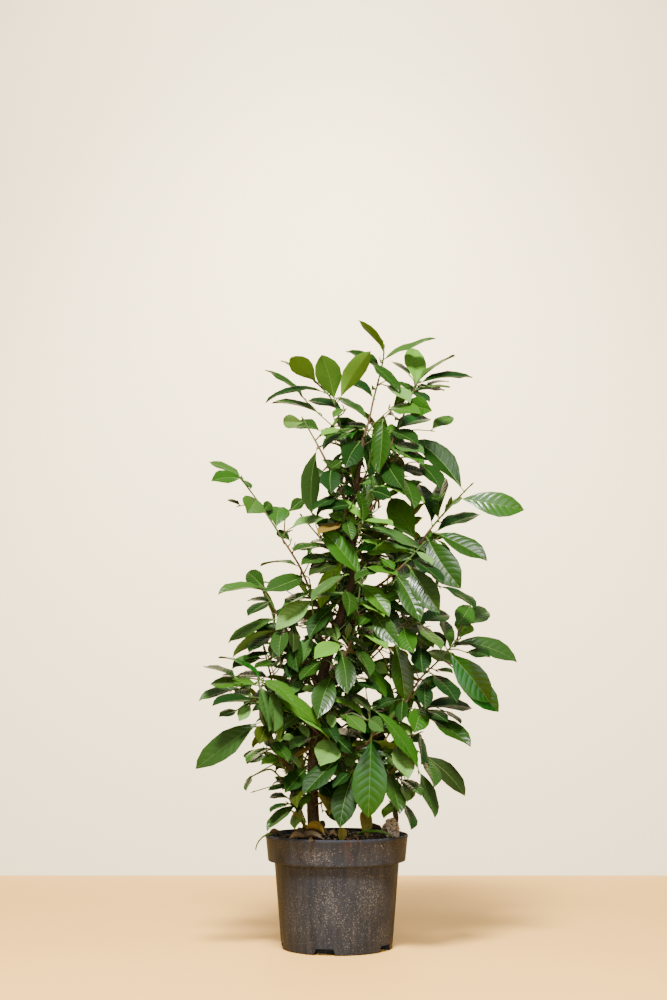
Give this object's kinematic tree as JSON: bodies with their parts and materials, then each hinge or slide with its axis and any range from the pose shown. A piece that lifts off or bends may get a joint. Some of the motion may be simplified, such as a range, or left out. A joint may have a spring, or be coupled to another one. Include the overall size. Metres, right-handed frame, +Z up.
{
  "type": "potted cherry laurel",
  "caption": "Young evergreen cherry laurel with one leaning trunk, side shoots and glossy oval leaves, growing in a round dark plastic nursery pot with a deep collar.",
  "frame": {"origin": "centre of the pot's flat underside, on the ground", "axes": "+Z up along the pot's axis, +X to the right and -Y towards the viewer of the picture"},
  "size_m": [0.5166, 0.3656, 1.0196],
  "materials": {
    "pot_plastic": "dark grey-brown moulded plastic, dull and dusty",
    "compost": "dark crumbly bark compost",
    "bark": "brown young bark with small pores",
    "foliage": "glossy dark green leaves on green twigs",
    "new_foliage": "glossy bright green young leaves on green twigs",
    "litter": "dry brown fallen leaves and bark"
  },
  "bodies": {
    "root": {"back_centre_leaves": "foliage", "back_high_left_leaves": "foliage", "back_high_right_leaves": "foliage", "back_left_leaves": "foliage", "back_low_left_leaves": "foliage", "back_low_right_leaves": "foliage", "back_right_leaves": "foliage", "back_top_leaves": "foliage", "centre_leaves": "foliage", "centre_low_leaves": "foliage", "clump": "litter", "fallen_brown_leaf": "litter", "fallen_dead_leaf": "litter", "fallen_green_leaf": "litter", "foot_leaves": "foliage", "front_bough": "bark", "front_leaves": "foliage", "front_low_bough": "bark", "front_low_leaves": "foliage", "inner_front_leaves": "foliage", "leader_leaves": "foliage", "left_bough": "bark", "left_centre_leaves": "foliage", "left_depth_leaves": "foliage", "left_front_bough": "bark", "left_front_leaves": "new_foliage", "left_high_leaves": "foliage", "left_inner_bough": "bark", "left_inner_leaves": "foliage", "left_low_bough": "bark", "left_low_leaves": "foliage", "left_mid_leaves": "foliage", "left_pale_bough": "bark", "left_pale_leaves": "foliage", "left_second_bough": "bark", "low_front_leaves": "foliage", "low_right_bough": "bark", "low_right_leaves": "foliage", "pot": "pot_plastic", "right_bough": "bark", "right_centre_bough": "bark", "right_centre_leaves": "foliage", "right_depth_leaves": "foliage", "right_high_leaves": "foliage", "right_inner_bough": "bark", "right_inner_leaves": "foliage", "right_mid_bough": "bark", "right_mid_leaves": "new_foliage", "rim_leaf": "litter", "root_ball": "compost", "second_stem": "bark", "top_centre_leaves": "foliage", "top_left_leaves": "foliage", "top_right_bough": "bark", "top_right_leaves": "new_foliage", "trunk": "bark", "upper_left_bough": "bark", "upper_left_leaves": "foliage", "upper_right_bough": "bark", "upper_right_leaves": "foliage"}
  },
  "joints": []
}
